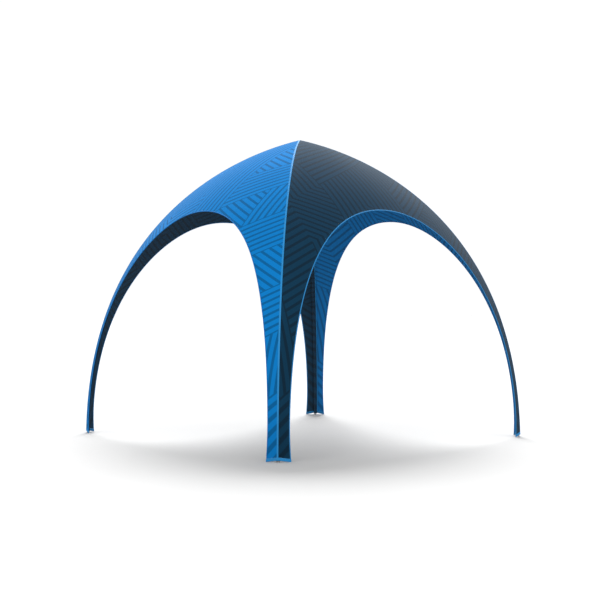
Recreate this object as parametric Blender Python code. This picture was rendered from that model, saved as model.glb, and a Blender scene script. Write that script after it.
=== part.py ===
"""Inflatable canopy tent on four legs, 4 m from foot to foot and 3.8 m high.

Four arched fabric panels meet along four curved ridges and run down into V-shaped legs.
A slim air beam stands in each fold, in a navy sleeve, and the beams meet at a hub under
the peak. Everything is worked out for the front panel and the front right leg, and
repeated by quarter turns about the vertical axis. Metres, +Z up, origin on the ground
below the peak. The front faces -Y and is blue, as is the back; left and right are navy.
"""

import math

import bpy
import numpy as np

# Canopy, outer surface
HALF_SIDE = 2.0            # axis to a side, measured at the ridges' feet
HEIGHT = 3.819             # ground to the point where the ridges meet
RIDGE_LOWER_PULL = (1.974, 2.562)   # half side and height of the ridge curve's lower handle
RIDGE_UPPER_PULL = (0.815, 3.553)   # the same for its upper handle
ARCH_HALF_WIDTH = 1.872    # of the arched opening
ARCH_HEIGHT = 2.818        # ground to the top of the opening
ARCH_WIDE_POWER = 2.053    # roundness of the opening across, 2 is an ellipse
ARCH_TALL_POWER = 2.261    # roundness of the opening upwards
FOOT_FLARE = 0.017         # each leg edge widens by this at the ground
FLARE_HEIGHT = 0.4745      # where the flare begins
BULGE_AT_FOOT = 0.184      # panel's outward swell, as a share of the half side
BULGE_EXTRA = 0.08         # what it gains at mid height
BULGE_POWER = 1.89         # 2 would be a parabola between the ridges

# Fabric, tapes and edges
SKIN = 0.006               # panel thickness
FIT = 0.0004               # gap kept between touching pieces
SEAM_FIT = 0.00055         # the same where curved facets run side by side
TAPE_FIT = 0.0008          # the same under the ridge tapes, whose facets are wider
SEAM_STRIP = 0.045         # width of the panel's facets that follow the ridge
PIPING_RADIUS = 0.0055
PIPING_SIDES = 8
TAPE_ON_BLUE = 0.016       # a ridge tape's arm on the blue panel
TAPE_ON_NAVY = 0.004       # and its arm on the navy one
TAPE = 0.0025              # tape thickness
HEM_HEIGHT = 0.034
RIDGE_LIFT = 0.024         # leg's lower edge is this much higher at the ridge
TIP_HALF_SIDE = 0.0016     # panels stop at this half side, just short of the axis

# Air beams and their sleeves
BEAM_RADIUS = 0.018
BEAM_SIDES = 12
SLEEVE = 0.0015            # sleeve thickness
SLEEVE_ANGLES = np.radians([0, 30, 60])     # seam, and the corners where the sleeve follows the beam
SLEEVE_LEAVES = math.radians(75)            # it runs straight to the panel at this slope
PAD_HEIGHT = 0.014
BEAM_END_RADIUS = 0.11     # beams stop at this distance from the axis
HUB_ABOVE = 0.008          # hub's top and bottom from the beams' centre lines
HUB_BELOW = 0.024
HUB_CORNER = math.radians(16)               # from a beam's direction to the corners of the hub's flat

# Valves
VALVE_HEIGHT = 0.55        # of the inflation valve over the ground
VALVE_PATCH = (0.03, math.radians(55))      # half its height, and how far it wraps round the sleeve
VALVE_BODY = (0.013, 0.012)                 # radius and length
VALVE_CAP = (0.010, 0.009)
RELIEF_VALVE = (0.02, 0.014)
TAPE_END_RADIUS = 0.010    # ridge tapes stop at this distance from the axis
TAPE_SHARE = 0.9           # near the peak they narrow to this share of the panel's seam strip

# Facets
STEPS = 18                 # from the hem to the beam's end, along a ridge
COLUMNS = 6                # across a panel's half, from the opening's edge to the seam strip
EDGE_CROWDING = 0.757      # spreads the facets along the opening's edge

FACES = ("front", "right", "back", "left")
LEGS = ("front_right", "back_right", "back_left", "front_left")
QUARTER = math.pi / 2
DIAGONAL = np.array([1.0, -1.0, 0.0]) / math.sqrt(2)    # from the axis to the front right leg
LATERAL = np.array([1.0, 1.0, 0.0]) / math.sqrt(2)      # across that leg, front to right

COLOURS = {
    "blue": ((0.004, 0.130, 0.400), 0.62),
    "navy": ((0.004, 0.024, 0.052), 0.62),
    "light_blue": ((0.030, 0.180, 0.400), 0.60),
    "bladder": ((0.030, 0.032, 0.035), 0.45),
    "black_plastic": ((0.015, 0.015, 0.017), 0.40),
    "grey_rubber": ((0.300, 0.300, 0.305), 0.75),
}


def clear_scene():
    for obj in list(bpy.data.objects):
        bpy.data.objects.remove(obj)


def make_materials():
    made = {}
    for name, (colour, roughness) in COLOURS.items():
        material = bpy.data.materials.new(name)
        material.use_nodes = True
        shader = material.node_tree.nodes["Principled BSDF"]
        shader.inputs["Base Color"].default_value = (*colour, 1.0)
        shader.inputs["Roughness"].default_value = roughness
        shader.inputs["Metallic"].default_value = 0.0
        made[name] = material
    return made


# The canopy's outer surface


def ridge(t):
    """Half side and height along a ridge, t from 0 at the ground to 1 at the peak: a cubic Bezier."""
    t = np.asarray(t, float)
    weights = ((1 - t) ** 3, 3 * t * (1 - t) ** 2, 3 * t**2 * (1 - t), t**3)
    corners = ((HALF_SIDE, 0.0), RIDGE_LOWER_PULL, RIDGE_UPPER_PULL, (0.0, HEIGHT))
    return tuple(sum(w * c[axis] for w, c in zip(weights, corners)) for axis in (0, 1))


TABLE_T = np.linspace(0, 1, 4001)
TABLE_HALF_SIDE, TABLE_Z = ridge(TABLE_T)


def t_at_height(z):
    return np.interp(z, TABLE_Z, TABLE_T)


def t_at_half_side(half_side):
    return np.interp(half_side, TABLE_HALF_SIDE[::-1], TABLE_T[::-1])


def half_side_at(z):
    return np.interp(z, TABLE_Z, TABLE_HALF_SIDE)


def bulge_at(z):
    return BULGE_AT_FOOT + BULGE_EXTRA * np.sin(math.pi * np.clip(z / HEIGHT, 0, 1))


def on_front(u, z):
    """Point of the front panel's outer surface, u across and z up: it swells between the ridges."""
    half = half_side_at(z)
    share = np.minimum(np.abs(u) / np.maximum(half, 1e-4), 1)
    depth = half * (1 + bulge_at(z) * (1 - share**BULGE_POWER))
    return np.stack(np.broadcast_arrays(u, -depth, z), axis=-1)


def unit(v):
    return v / np.linalg.norm(v, axis=-1, keepdims=True)


def front_normal(u, z, step=0.0008):
    """Outward normal of the front panel, from two short differences on its surface."""
    across = on_front(u + step, z) - on_front(u - step, z)
    upward = on_front(u, z + step) - on_front(u, z - step)
    return unit(np.cross(across, upward))


def arch(angle):
    """u and z of the opening's edge on the right half, angle 0 at the ground, a quarter turn at its top."""
    u = ARCH_HALF_WIDTH * np.maximum(np.cos(angle), 0) ** (2 / ARCH_WIDE_POWER)
    z = ARCH_HEIGHT * np.sin(angle) ** (2 / ARCH_TALL_POWER)
    return u - FOOT_FLARE * np.clip(1 - z / FLARE_HEIGHT, 0, 1) ** 2, z


def arch_angle_at_height(z):
    angles = np.linspace(0, QUARTER, 4001)
    return np.interp(z, arch(angles)[1], angles)


def hem_bottom(u):
    """Height of a leg's lower edge at u across: on the ground at the free corner, rising to the ridge."""
    corner = ARCH_HALF_WIDTH - FOOT_FLARE
    return RIDGE_LIFT * (u - corner) / (HALF_SIDE - corner)


# Stations along a ridge. Panels, tapes, beams and sleeves share them, so that their facets run parallel.
T_HEM = t_at_height(HEM_HEIGHT + RIDGE_LIFT)
T_BEAM_END = t_at_half_side(BEAM_END_RADIUS / math.sqrt(2))
T_LAST = t_at_half_side(np.array([TAPE_END_RADIUS / math.sqrt(2), TIP_HALF_SIDE]))
STATIONS = np.concatenate([np.linspace(T_HEM, T_BEAM_END, STEPS + 1), T_LAST])
BEAM_STATIONS = np.concatenate([[t_at_height(PAD_HEIGHT)], STATIONS[:STEPS + 1]])


# Mesh helpers


def closed_mesh(name, points, faces):
    """Mesh of one closed body; the faces are turned over if they enclose a negative volume."""
    points = np.asarray(points, float)
    volume = 0.0
    for face in faces:
        first = points[face[0]]
        for b, c in zip(face[1:-1], face[2:]):
            volume += first @ np.cross(points[b], points[c])
    if volume < 0:
        faces = [tuple(reversed(face)) for face in faces]
    mesh = bpy.data.meshes.new(name)
    mesh.from_pydata(points.tolist(), [], [tuple(int(i) for i in face) for face in faces])
    mesh.shade_smooth()
    mesh.set_sharp_from_angle(angle=math.radians(40))
    return mesh


def slab_mesh(name, outer, inner):
    """Closed slab between two grids of points, with a rim round its four sides."""
    rows, columns = outer.shape[:2]
    index = np.arange(rows * columns).reshape(rows, columns)
    under = rows * columns
    corners = (index[:-1, :-1], index[1:, :-1], index[1:, 1:], index[:-1, 1:])
    quads = np.stack(corners, axis=-1).reshape(-1, 4)
    loop = np.concatenate([index[0, :-1], index[:-1, -1], index[-1, :0:-1], index[:0:-1, 0]])
    after = np.roll(loop, -1)
    rim = np.stack([loop, after, after + under, loop + under], axis=-1)
    faces = np.concatenate([quads, quads[:, ::-1] + under, rim])
    points = np.concatenate([outer.reshape(-1, 3), inner.reshape(-1, 3)])
    return closed_mesh(name, points, faces.tolist())


def tube_mesh(name, rings):
    """Closed tube through rings of points, with flat ends."""
    rows, sides = rings.shape[:2]
    index = np.arange(rows * sides).reshape(rows, sides)
    turned = np.roll(index, -1, axis=1)
    walls = np.stack([index[:-1], turned[:-1], turned[1:], index[1:]], axis=-1).reshape(-1, 4)
    ends = [index[0, ::-1].tolist(), index[-1].tolist()]
    return closed_mesh(name, rings.reshape(-1, 3), walls.tolist() + ends)


def prism_mesh(name, base, direction, length, radius, sides, end_radius=None):
    """A straight prism from base along direction; end_radius tapers it."""
    direction = unit(np.asarray(direction, float))
    helper = (0.0, 0.0, 1.0) if abs(direction[2]) < 0.9 else (1.0, 0.0, 0.0)
    side = unit(np.cross(direction, helper))
    other = np.cross(direction, side)
    angles = np.arange(sides) * 2 * math.pi / sides
    circle = np.cos(angles)[:, None] * side + np.sin(angles)[:, None] * other
    end_radius = radius if end_radius is None else end_radius
    end = base + length * direction
    return tube_mesh(name, np.stack([base + radius * circle, end + end_radius * circle]))


def add_object(name, mesh, material, turn=0):
    obj = bpy.data.objects.new(name, mesh)
    bpy.context.scene.collection.objects.link(obj)
    obj.rotation_euler.z = turn * QUARTER
    if not mesh.materials:
        mesh.materials.append(material)
    obj.material_slots[0].link = "OBJECT"
    obj.material_slots[0].material = material


# Cross-sections of the front right ridge


def ridge_frame(t):
    """Ridge points, outward normals, half the angle between the panels, and the seam strip's far edge."""
    t = np.asarray(t, float)
    half_side, z = ridge(t)
    point = np.stack([half_side, -half_side, z], axis=-1)
    ahead, behind = ridge(t + 1e-4), ridge(t - 1e-4)
    run, rise = ahead[0] - behind[0], ahead[1] - behind[1]
    tangent = unit(np.stack([run, -run, rise], axis=-1))
    normal = unit(np.cross(LATERAL, tangent))
    away = unit(np.cross(tangent, front_normal(half_side - 0.01, z)))
    away *= np.where(away @ LATERAL > 0, -1, 1)[:, None]
    strip = np.minimum(SEAM_STRIP, 0.5 * half_side / np.abs(away[:, 0]))
    seam = point + away * strip[:, None]
    seam = on_front(seam[:, 0], seam[:, 2])
    # The facet ends on the curved surface, so it leaves the ridge a little lower than the surface does
    away = seam - point
    away = unit(away - np.sum(away * tangent, axis=-1, keepdims=True) * tangent)
    half_angle = np.arctan2(-away @ LATERAL, -np.sum(away * normal, axis=-1))
    return point, normal, half_angle, seam


def section(t, inward, lateral):
    """Rows of points, one row for each t: so far inward from the ridge line, and so far sideways."""
    point, normal, _, _ = ridge_frame(t)
    return point[:, None] - inward[..., None] * normal[:, None] + lateral[..., None] * LATERAL


def beam_depth(half_angle):
    """From the ridge line in to the beam's centre, where it just clears both panels."""
    return (SKIN + FIT + BEAM_RADIUS) / np.sin(half_angle)


def round_beam(t, radius, angles):
    """Rows of points round the beam's centre line; angle 0 points inward, away from the ridge."""
    depth = beam_depth(ridge_frame(t)[2])[:, None]
    return section(t, depth + radius * np.cos(angles), 0 * depth + radius * np.sin(angles))


# Panels, piping and hems


def mirrored(half):
    """The right half from the ground up, then its mirror image from the top down."""
    return np.concatenate([half, half[:-1][::-1] * np.array([-1.0, 1.0, 1.0])])


def panel_edge():
    """The front panel's edge on the right half: u, z, surface normals and directions into the opening."""
    share = (STATIONS - STATIONS[0]) / (STATIONS[-1] - STATIONS[0])
    foot = arch_angle_at_height(HEM_HEIGHT)
    angle = foot + (QUARTER - foot) * share**EDGE_CROWDING
    u, z = arch(angle)
    step = 0.002
    ahead = on_front(*arch(np.minimum(angle + step, QUARTER)))
    along = unit(ahead - on_front(*arch(angle - step)))
    along[-1] = (-1.0, 0.0, 0.0)
    into = unit(np.cross(front_normal(u, z), along))
    into *= np.where(into @ np.array([-0.5, 0.0, -0.5]) < 0, -1, 1)[:, None]
    back = 2 * PIPING_RADIUS + FIT
    u = u - back * into[:, 0]
    z = z - back * into[:, 2]
    u[-1] = 0.0
    z[0] = hem_bottom(u[0]) + HEM_HEIGHT + FIT
    return u, z, front_normal(u, z), into


def make_panels(materials):
    """Rows run from the opening's edge to the ridge; the last column is mitred against the next panel."""
    u_edge, z_edge, _, _ = panel_edge()
    point, normal, half_angle, seam = ridge_frame(STATIONS)
    u_seam, z_seam = seam[:, 0], seam[:, 2]
    z_seam[0] = hem_bottom(u_seam[0]) + HEM_HEIGHT + FIT
    across = np.linspace(0, 1, COLUMNS + 1)
    u = u_edge[:, None] + (u_seam - u_edge)[:, None] * across
    z = z_edge[:, None] + (z_seam - z_edge)[:, None] * across
    u[-1] = 0.0
    outer = on_front(u, z)
    inner = outer - SKIN * front_normal(u, z)
    mitre = -FIT / 2 * LATERAL
    depth = (SKIN / np.sin(half_angle))[:, None]
    ridge_outer = point + mitre
    ridge_inner = point - depth * normal + mitre
    ridge_outer[0, 2] += FIT
    ridge_inner[0, 2] = ridge_outer[0, 2]
    inner[0, :, 2] = outer[0, :, 2]
    tip = on_front(np.zeros(1), point[-1:, 2])
    ridge_outer[-1] = tip[0]
    ridge_inner[-1] = (tip - SKIN * front_normal(np.zeros(1), point[-1:, 2]))[0]
    outer = mirrored(np.concatenate([outer, ridge_outer[:, None]], axis=1))
    inner = mirrored(np.concatenate([inner, ridge_inner[:, None]], axis=1))
    inner[STEPS + 2, :, 0] = 0.0
    mesh = slab_mesh("panel", outer, inner)
    for turn, face in enumerate(FACES):
        add_object(f"{face}_panel", mesh, materials["navy" if turn % 2 else "blue"], turn)


def make_piping(materials):
    """A corded edge round each arch, lying against the panel's cut edge, light blue on the navy panels."""
    u, z, normal, into = panel_edge()
    centre = on_front(u, z) - normal * SKIN / 2 + into * (PIPING_RADIUS + FIT)
    # The lowest length is upright, so that its end lies flat over the hem
    foot = np.repeat(centre[:1], 2, axis=0)
    foot[:, 2] = z[0] + np.array([0.0, 2 * PIPING_RADIUS])
    centre = mirrored(np.concatenate([foot, centre[1:]]))
    normal = mirrored(np.concatenate([normal[:1], normal]))
    along = np.gradient(centre, axis=0)
    along[[0, -1]] = [(0.0, 0.0, 1.0), (0.0, 0.0, -1.0)]
    normal = unit(normal - np.sum(normal * unit(along), axis=-1, keepdims=True) * unit(along))
    side = np.cross(unit(along), normal)
    angles = (np.arange(PIPING_SIDES) + 0.5) * 2 * math.pi / PIPING_SIDES
    rings = np.cos(angles)[:, None] * side[:, None] + np.sin(angles)[:, None] * normal[:, None]
    mesh = tube_mesh("arch_piping", centre[:, None] + PIPING_RADIUS * rings)
    for turn, face in enumerate(FACES):
        colour = "light_blue" if turn % 2 else "blue"
        add_object(f"{face}_arch_piping", mesh, materials[colour], turn)


def make_hems(materials):
    """The V-shaped band round each leg's foot, lowest at its two free corners."""
    proud = TAPE + FIT
    front_outer, front_inner = [], []
    for height in (0.0, HEM_HEIGHT):
        corner = arch(arch_angle_at_height(height))[0]
        t = t_at_height(np.array([height + RIDGE_LIFT]))
        point, normal, half_angle, seam = ridge_frame(t)
        u = np.array([corner, (corner + seam[0, 0]) / 2, seam[0, 0]])
        z = hem_bottom(u) + height
        face = on_front(u, z)
        out = front_normal(u, z)
        out[:, 2] = 0.0
        ridge_out = np.array(DIAGONAL) / math.sin(half_angle[0])
        front_outer.append(np.concatenate([face + proud * out, point + proud * ridge_out]))
        front_inner.append(np.concatenate([face - SKIN * out, point - SKIN * ridge_out]))
    both = []
    for half in (np.array(front_outer), np.array(front_inner)):
        # In the leg's diagonal plane x and -y change places
        other = half[:, :-1][:, ::-1][:, :, [1, 0, 2]] * np.array([-1.0, -1.0, 1.0])
        both.append(np.concatenate([half, other], axis=1))
    mesh = slab_mesh("foot_hem", *both)
    for turn, leg in enumerate(LEGS):
        add_object(f"{leg}_foot_hem", mesh, materials["light_blue"], turn)


# Ridge tapes, beams, sleeves and pads


def tape_mesh(front_arm, right_arm):
    """A tape folded over the front right ridge, so wide on its front and on its right side."""
    t = STATIONS[:-1]
    point, _, half_angle, seam = ridge_frame(t)
    half_angle = half_angle[:, None]
    widest = TAPE_SHARE * np.linalg.norm(seam - point, axis=-1)[:, None]
    arm = np.clip([[-front_arm, 0.0, right_arm]], -widest, widest)
    sides = []
    for lift in (TAPE_FIT + TAPE, TAPE_FIT):
        rise = np.where(arm == 0, 1 / np.sin(half_angle), np.sin(half_angle))
        inward = np.abs(arm) * np.cos(half_angle) - lift * rise
        lateral = arm * np.sin(half_angle) + np.sign(arm) * lift * np.cos(half_angle)
        points = section(t, inward, lateral)
        points[0, :, 2] = HEM_HEIGHT + RIDGE_LIFT + FIT
        sides.append(points)
    return slab_mesh("ridge_tape", *sides)


def make_tapes(materials):
    """Each tape lies on the blue side of its ridge, with only a narrow turn-over on the navy side."""
    meshes = (tape_mesh(TAPE_ON_BLUE, TAPE_ON_NAVY), tape_mesh(TAPE_ON_NAVY, TAPE_ON_BLUE))
    for turn, leg in enumerate(LEGS):
        add_object(f"{leg}_ridge_tape", meshes[turn % 2], materials["light_blue"], turn)


def make_beams(materials):
    angles = np.arange(BEAM_SIDES) * 2 * math.pi / BEAM_SIDES
    rings = round_beam(BEAM_STATIONS, BEAM_RADIUS, angles)
    rings[0, :, 2] = PAD_HEIGHT + FIT
    beam = tube_mesh("air_beam", rings)
    pad_top = rings[0].copy()
    pad_top[:, 2] = PAD_HEIGHT
    pad_bottom = pad_top.copy()
    pad_bottom[:, 2] = 0.0
    pad = tube_mesh("foot_pad", np.stack([pad_bottom, pad_top]))
    for turn, leg in enumerate(LEGS):
        add_object(f"{leg}_air_beam", beam, materials["bladder"], turn)
        add_object(f"{leg}_foot_pad", pad, materials["grey_rubber"], turn)


def sleeve_surface(radius, side):
    """Half of a sleeve's section: round the beam from its seam, then straight to the panel's inner face."""
    t = BEAM_STATIONS
    half_angle = ridge_frame(t)[2][:, None]
    inward = beam_depth(half_angle) + radius * np.cos(SLEEVE_ANGLES)
    lateral = 0 * half_angle + radius * np.sin(SLEEVE_ANGLES)
    cot = 1 / np.tan(half_angle)
    inner_face = (SKIN + SEAM_FIT) / np.sin(half_angle)
    last_in, last_out = inward[:, -1:], lateral[:, -1:]
    drop, spread = math.sin(SLEEVE_LEAVES), math.cos(SLEEVE_LEAVES)
    run = (last_in - last_out * cot - inner_face) / (drop + spread * cot)
    inward = np.concatenate([inward, last_in - run * drop], axis=1)
    lateral = np.concatenate([lateral, last_out + run * spread], axis=1)
    lateral[:, 0] = FIT / 2
    points = section(t, inward, side * lateral)
    points[0, :, 2] = PAD_HEIGHT + FIT
    return points


def make_sleeves(materials):
    inner = BEAM_RADIUS + FIT
    for side, offset in ((-1, 0), (1, 1)):
        mesh = slab_mesh("sleeve_half", sleeve_surface(inner + SLEEVE, side), sleeve_surface(inner, side))
        for turn, leg in enumerate(LEGS):
            face = FACES[(turn + offset) % 4]
            add_object(f"{leg}_sleeve_{face}_half", mesh, materials["navy"], turn)


# Hub and valves


def make_hub(materials):
    """The beams' ends meet four of its eight flats, which lean to lie square to them."""
    top = STATIONS[STEPS:STEPS + 1]
    end = round_beam(top, 0.0, np.zeros(1))[0, 0]
    normal = ridge_frame(top)[1][0]
    rise = math.atan2(normal @ DIAGONAL, normal[2])
    reach = end @ DIAGONAL - FIT / math.cos(rise)
    low = (reach - HUB_BELOW * math.tan(rise)) / math.cos(HUB_CORNER)
    high = (reach + HUB_ABOVE * math.tan(rise)) / math.cos(HUB_CORNER)
    diagonals = (np.arange(4) + 0.5) * QUARTER
    angles = np.stack([diagonals - HUB_CORNER, diagonals + HUB_CORNER], axis=-1).ravel()
    circle = np.stack([np.cos(angles), np.sin(angles), 0 * angles], axis=-1)
    bottom = end[2] - HUB_BELOW
    rings = np.stack([low * circle, high * circle])
    rings[0, :, 2] = bottom
    rings[1, :, 2] = end[2] + HUB_ABOVE
    add_object("crown_hub", tube_mesh("crown_hub", rings), materials["bladder"])
    radius, length = RELIEF_VALVE
    under = np.array([0.0, 0.0, bottom - FIT])
    valve = prism_mesh("relief_valve", under, (0, 0, -1), length, radius, 16, radius * 0.8)
    add_object("relief_valve", valve, materials["black_plastic"])


def make_inflation_valve(materials):
    """On the inner side of the front right leg's sleeve: a patch, the valve's body and its screw cap."""
    reach, wrap = VALVE_PATCH
    angles = np.array([-wrap, -math.radians(30), 0.0, math.radians(30), wrap])
    t = t_at_height(VALVE_HEIGHT)
    step = int(np.searchsorted(BEAM_STATIONS, t))
    ends = BEAM_STATIONS[step - 1:step + 1]
    skin = BEAM_RADIUS + 2 * FIT + SLEEVE
    surfaces = []
    for radius in (skin + TAPE, skin):
        rows = round_beam(ends, radius, angles)
        rows = np.stack([
            rows[0] + (rows[1] - rows[0]) * (z - rows[0, 2, 2]) / (rows[1, 2, 2] - rows[0, 2, 2])
            for z in (VALVE_HEIGHT - reach, VALVE_HEIGHT + reach)
        ])
        surfaces.append(rows)
    add_object("valve_patch", slab_mesh("valve_patch", *surfaces), materials["navy"])
    normal = ridge_frame(np.array([t]))[1][0]
    seat = surfaces[0][:, 2].mean(axis=0) - normal * FIT
    radius, length = VALVE_BODY
    body = prism_mesh("inflation_valve", seat, -normal, length, radius, 16)
    add_object("inflation_valve", body, materials["black_plastic"])
    cap_radius, cap_length = VALVE_CAP
    cap_seat = seat - normal * (length + FIT)
    cap = prism_mesh("inflation_valve_cap", cap_seat, -normal, cap_length, cap_radius, 12)
    add_object("inflation_valve_cap", cap, materials["black_plastic"])


def main():
    clear_scene()
    materials = make_materials()
    make_panels(materials)
    make_piping(materials)
    make_hems(materials)
    make_tapes(materials)
    make_beams(materials)
    make_sleeves(materials)
    make_hub(materials)
    make_inflation_valve(materials)


main()
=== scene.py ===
# %% [markdown]
# # An inflatable canopy tent, dressed for the camera
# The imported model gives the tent's true size: four arched panels, four curved ridges, four legs.
# It is loaded first, as a fixed frame in metres with +Z up. Everything made below is a finished
# skin for one of its parts, drawn in the same frame, so nothing has to be fitted afterwards.

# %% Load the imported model
import math

import bpy
import numpy as np
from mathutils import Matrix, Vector


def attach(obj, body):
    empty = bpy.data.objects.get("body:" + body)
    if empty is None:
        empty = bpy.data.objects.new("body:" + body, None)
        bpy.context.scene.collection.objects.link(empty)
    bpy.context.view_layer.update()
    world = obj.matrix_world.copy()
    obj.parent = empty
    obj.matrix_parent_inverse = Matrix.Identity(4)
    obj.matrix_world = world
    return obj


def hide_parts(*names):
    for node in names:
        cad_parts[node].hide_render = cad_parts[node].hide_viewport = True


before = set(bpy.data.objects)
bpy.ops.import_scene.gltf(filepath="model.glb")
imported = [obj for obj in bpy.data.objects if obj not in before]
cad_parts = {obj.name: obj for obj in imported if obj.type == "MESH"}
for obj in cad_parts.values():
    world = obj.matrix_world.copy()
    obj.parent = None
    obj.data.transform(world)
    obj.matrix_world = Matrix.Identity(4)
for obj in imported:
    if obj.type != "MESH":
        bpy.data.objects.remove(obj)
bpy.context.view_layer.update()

# %% [markdown]
# ## The ridge
# On the real tent a ridge is the seam of two panels, pushed out by the air beam behind it. Seen
# square to a side, it is one smooth curve that stands almost upright at the foot and bends over to
# the peak. It could be a curve object with handles pulled by eye, but other pieces have to lie on
# it to a tenth of a millimetre, so the same cubic curve is written as a formula. Its four corners
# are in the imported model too, and the finished cloth follows those solids exactly.

# %% Ridge curve
HALF_SIDE = 2.0            # axis to a side, measured at the ridges' feet
HEIGHT = 3.819             # ground to the point where the ridges meet
RIDGE_LOWER_PULL = (1.974, 2.562)
RIDGE_UPPER_PULL = (0.815, 3.553)


def ridge(t):
    """Half side and height along a ridge, t from 0 at the ground to 1 at the peak: the weights (1-t)^3,
    3t(1-t)^2, 3t^2(1-t) and t^3 times the curve's two ends and two handles, in order."""
    t = np.asarray(t, float)
    weights = ((1 - t) ** 3, 3 * t * (1 - t) ** 2, 3 * t**2 * (1 - t), t**3)
    corners = ((HALF_SIDE, 0.0), RIDGE_LOWER_PULL, RIDGE_UPPER_PULL, (0.0, HEIGHT))
    return tuple(sum(w * c[axis] for w, c in zip(weights, corners)) for axis in (0, 1))


TABLE_T = np.linspace(0, 1, 4001)
TABLE_HALF_SIDE, TABLE_Z = ridge(TABLE_T)


def t_at_height(z):
    """Station on the ridge at a height, read from the table of the curve."""
    return np.interp(z, TABLE_Z, TABLE_T)


def t_at_half_side(half_side):
    """Station at a half side; the table is turned round, because the half side shrinks upwards."""
    return np.interp(half_side, TABLE_HALF_SIDE[::-1], TABLE_T[::-1])


def half_side_at(z):
    """Half side of the tent at a height, read from the table of the curve."""
    return np.interp(z, TABLE_Z, TABLE_HALF_SIDE)


ridge_length = np.hypot(np.diff(TABLE_HALF_SIDE), np.diff(TABLE_Z)).sum()
print("ridge length, flat view:", round(float(ridge_length), 3))

# %% [markdown]
# ## The swell of a panel
# Between two ridges the cloth swells outwards, most in the middle. It could be sculpted or blown up
# by a cloth simulation, but then nothing sewn to it would fit. Here one formula gives every point of
# a panel from its place across, u, and its height, z. It is written once, for the front panel; the
# other three are the same points turned by quarter turns.

# %% Panel surface
BULGE_AT_FOOT = 0.184      # panel's outward swell, as a share of the half side
BULGE_EXTRA = 0.08         # what it gains at mid height
BULGE_POWER = 1.89         # 2 would be a parabola between the ridges


def bulge_at(z):
    """Swell as a share of the half side: at the foot, plus extra * sin(pi * z / height)."""
    return BULGE_AT_FOOT + BULGE_EXTRA * np.sin(math.pi * np.clip(z / HEIGHT, 0, 1))


def on_front(u, z):
    """Point of the front panel: x is u, and y is minus the half side times
    1 + bulge * (1 - (|u| / half side)^power)."""
    half = half_side_at(z)
    share = np.minimum(np.abs(u) / np.maximum(half, 1e-4), 1)
    depth = half * (1 + bulge_at(z) * (1 - share**BULGE_POWER))
    return np.stack(np.broadcast_arrays(u, -depth, z), axis=-1)


def unit(v):
    """Each vector over its own length."""
    return v / np.linalg.norm(v, axis=-1, keepdims=True)


def front_normal(u, z, step=0.0008):
    """Outward normal: the cross product of a short step across and a short step up."""
    across = on_front(u + step, z) - on_front(u - step, z)
    upward = on_front(u, z + step) - on_front(u, z - step)
    return unit(np.cross(across, upward))


def turned(points, turn):
    """The same points after so many quarter turns about the upright axis."""
    for _ in range(turn):
        points = np.stack([-points[..., 1], points[..., 0], points[..., 2]], axis=-1)
    return points


middle_y = on_front(np.array(0.0), np.array(2.0))[1]
print("the front swells to y =", round(float(middle_y), 3), "at 2 m")

# %% [markdown]
# ## The arched opening
# The cloth's free edge is a rounded arch that flares a little at the feet. A cutter object could
# punch it out of the panel, but would leave ragged faces along the edge. A superellipse has this
# shape: an ellipse whose powers differ a little from 2. The leg that is left between an arch and a
# ridge is only a hand wide. Its lower edge rises by 24 mm from the free corner to the ridge.

# %% Arch and foot
ARCH_HALF_WIDTH = 1.872
ARCH_HEIGHT = 2.818
ARCH_WIDE_POWER = 2.053
ARCH_TALL_POWER = 2.261
FOOT_FLARE = 0.017         # what a leg gains in width at the ground
FLARE_HEIGHT = 0.4745      # where the flare begins
HEM_HEIGHT = 0.034
RIDGE_LIFT = 0.024         # how much higher a leg's lower edge is at the ridge
QUARTER = math.pi / 2


def arch(angle):
    """u and z of the opening's edge: cos and sin of the angle, each raised to 2 / power and scaled,
    less a flare that fades out with height."""
    u = ARCH_HALF_WIDTH * np.maximum(np.cos(angle), 0) ** (2 / ARCH_WIDE_POWER)
    z = ARCH_HEIGHT * np.sin(angle) ** (2 / ARCH_TALL_POWER)
    return u - FOOT_FLARE * np.clip(1 - z / FLARE_HEIGHT, 0, 1) ** 2, z


def arch_angle_at_height(z):
    """The arch's angle at a height, read from a table of angles."""
    angles = np.linspace(0, QUARTER, 4001)
    return np.interp(z, arch(angles)[1], angles)


def hem_bottom(u):
    """Height of a leg's lower edge, on the ground at the free corner and rising to the ridge."""
    corner = ARCH_HALF_WIDTH - FOOT_FLARE
    return RIDGE_LIFT * (u - corner) / (HALF_SIDE - corner)


print("a leg is", round(1000 * (HALF_SIDE - ARCH_HALF_WIDTH + FOOT_FLARE)), "mm wide at the ground")

# %% [markdown]
# ## Cross-sections of a ridge
# Tape, air beam and sleeve all follow the ridge. A bevelled curve could carry their profiles, but it
# doesn't know how the two panels lean. So they share one set of axes: a point on the ridge, the
# outward normal between the two panels, and half the angle at which the panels meet. A profile
# drawn in those axes can be carried up the whole leg.

# %% Ridge axes
SEAM_STRIP = 0.045         # from the ridge to the second point that gives a panel's direction
BESIDE_RIDGE = 0.01        # a panel's normal is read here, where its formula is smooth
LATERAL = np.array([1.0, 1.0, 0.0]) / math.sqrt(2)      # square to the front right leg's own plane


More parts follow.
